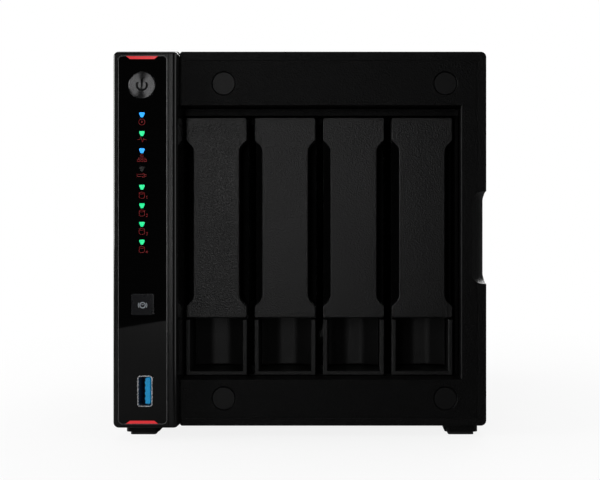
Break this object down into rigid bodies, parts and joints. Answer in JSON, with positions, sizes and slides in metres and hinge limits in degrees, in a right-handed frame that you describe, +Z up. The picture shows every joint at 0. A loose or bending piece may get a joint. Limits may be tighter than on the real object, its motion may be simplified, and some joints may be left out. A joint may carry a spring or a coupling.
{
  "type": "network attached storage",
  "caption": "Desktop network storage unit with slide-out drive trays, lever handles, a glossy control strip with status lights and buttons, rear fan and ports.",
  "frame": {"origin": "on the standing surface, at the middle of the footprint", "axes": "+Z up, front faces -Y, +X to the right when seen from the front"},
  "size_m": [0.168, 0.23, 0.175],
  "materials": {
    "cover_plastic": "fine texture",
    "bezel_plastic": "fine texture",
    "strip_plastic": "satin",
    "lever_plastic": "fine texture",
    "tray_plastic": "fine texture",
    "gloss_panel": "polished",
    "button_plastic": "satin",
    "red_plastic": "polished",
    "blue_lens": "translucent, lit from behind",
    "green_lens": "translucent, lit from behind",
    "dark_lens": "translucent",
    "brushed_button": "circular brushed",
    "magnet_steel": "dark plated",
    "bright_steel": "plated",
    "usb_blue": "moulded",
    "sheet_steel": "black powder coat",
    "circuit_board": "solder mask",
    "black_plastic": "moulded",
    "white_plastic": "moulded",
    "brass_posts": "turned",
    "sink_aluminium": "anodised",
    "drive_casting": "cast",
    "rear_metal": "powder coat",
    "guard_wire": "powder coat",
    "screw_steel": "plated",
    "foot_rubber": "moulded"
  },
  "bodies": {
    "housing": {"backplane_board": "circuit_board", "blue_status_lenses": "blue_lens", "board_standoffs": "brass_posts", "button_switches": "black_plastic", "cover_magnets": "magnet_steel", "dark_status_lens": "dark_lens", "drive_cage": "sheet_steel", "drive_connectors": "black_plastic", "fan_frame": "black_plastic", "fan_guard": "guard_wire", "fan_screws": "screw_steel", "feet": "cover_plastic", "foot_pads": "foot_rubber", "front_bezel": "bezel_plastic", "front_board": "circuit_board", "front_usb_shell": "bright_steel", "front_usb_tongue": "usb_blue", "green_status_lenses": "green_lens", "heat_sink": "sink_aluminium", "latch_bar": "bezel_plastic", "left_cover": "cover_plastic", "main_board": "circuit_board", "main_cover": "cover_plastic", "memory_modules": "circuit_board", "memory_sockets": "black_plastic", "network_jacks": "bright_steel", "power_inlet": "black_plastic", "processor": "black_plastic", "rear_panel": "rear_metal", "rear_screws": "screw_steel", "rear_usb_shells": "bright_steel", "rear_usb_tongues": "usb_blue", "red_accents": "red_plastic", "status_leds": "white_plastic", "strip_bezel": "strip_plastic", "strip_panel": "gloss_panel", "video_socket": "bright_steel"},
    "tray_1": {"tray_1": "tray_plastic", "drive_1": "drive_casting", "lever_pin_1": "screw_steel"},
    "lever_1": {"lever_1": "lever_plastic"},
    "release_tab_1": {"release_tab_1": "tray_plastic"},
    "tray_2": {"tray_2": "tray_plastic", "drive_2": "drive_casting", "lever_pin_2": "screw_steel"},
    "lever_2": {"lever_2": "lever_plastic"},
    "release_tab_2": {"release_tab_2": "tray_plastic"},
    "tray_3": {"tray_3": "tray_plastic", "drive_3": "drive_casting", "lever_pin_3": "screw_steel"},
    "lever_3": {"lever_3": "lever_plastic"},
    "release_tab_3": {"release_tab_3": "tray_plastic"},
    "tray_4": {"tray_4": "tray_plastic", "drive_4": "drive_casting", "lever_pin_4": "screw_steel"},
    "lever_4": {"lever_4": "lever_plastic"},
    "release_tab_4": {"release_tab_4": "tray_plastic"},
    "power_button": {"power_button": "brushed_button"},
    "copy_button": {"copy_button": "button_plastic"},
    "fan_rotor": {"fan_rotor": "black_plastic"}
  },
  "joints": [
    {"name": "tray_1_slide", "type": "slide", "parent": "housing", "child": "tray_1", "axis": [0, -1, 0], "range_m": [0, 0.165]},
    {"name": "lever_1_hinge", "type": "hinge", "parent": "tray_1", "child": "lever_1", "pos_m": [-0.0404, -0.0903, 0.138], "axis": [-1, 0, 0], "range_deg": [0, 65]},
    {"name": "release_tab_1_press", "type": "slide", "parent": "tray_1", "child": "release_tab_1", "axis": [0, 1, 0], "range_m": [0, 0.0015], "stiffness_N_per_m": 400},
    {"name": "tray_2_slide", "type": "slide", "parent": "housing", "child": "tray_2", "axis": [0, -1, 0], "range_m": [0, 0.165]},
    {"name": "lever_2_hinge", "type": "hinge", "parent": "tray_2", "child": "lever_2", "pos_m": [-0.00835, -0.0903, 0.138], "axis": [-1, 0, 0], "range_deg": [0, 65]},
    {"name": "release_tab_2_press", "type": "slide", "parent": "tray_2", "child": "release_tab_2", "axis": [0, 1, 0], "range_m": [0, 0.0015], "stiffness_N_per_m": 400},
    {"name": "tray_3_slide", "type": "slide", "parent": "housing", "child": "tray_3", "axis": [0, -1, 0], "range_m": [0, 0.165]},
    {"name": "lever_3_hinge", "type": "hinge", "parent": "tray_3", "child": "lever_3", "pos_m": [0.0237, -0.0903, 0.138], "axis": [-1, 0, 0], "range_deg": [0, 65]},
    {"name": "release_tab_3_press", "type": "slide", "parent": "tray_3", "child": "release_tab_3", "axis": [0, 1, 0], "range_m": [0, 0.0015], "stiffness_N_per_m": 400},
    {"name": "tray_4_slide", "type": "slide", "parent": "housing", "child": "tray_4", "axis": [0, -1, 0], "range_m": [0, 0.165]},
    {"name": "lever_4_hinge", "type": "hinge", "parent": "tray_4", "child": "lever_4", "pos_m": [0.05575, -0.0903, 0.138], "axis": [-1, 0, 0], "range_deg": [0, 65]},
    {"name": "release_tab_4_press", "type": "slide", "parent": "tray_4", "child": "release_tab_4", "axis": [0, 1, 0], "range_m": [0, 0.0015], "stiffness_N_per_m": 400},
    {"name": "power_button_press", "type": "slide", "parent": "housing", "child": "power_button", "axis": [0, 1, 0], "range_m": [0, 0.0008], "stiffness_N_per_m": 500},
    {"name": "copy_button_press", "type": "slide", "parent": "housing", "child": "copy_button", "axis": [0, 1, 0], "range_m": [0, 0.0008], "stiffness_N_per_m": 500},
    {"name": "fan_spin", "type": "hinge", "parent": "housing", "child": "fan_rotor", "pos_m": [0.0088, 0.0989, 0.09], "axis": [0, -1, 0], "continuous": true}
  ]
}
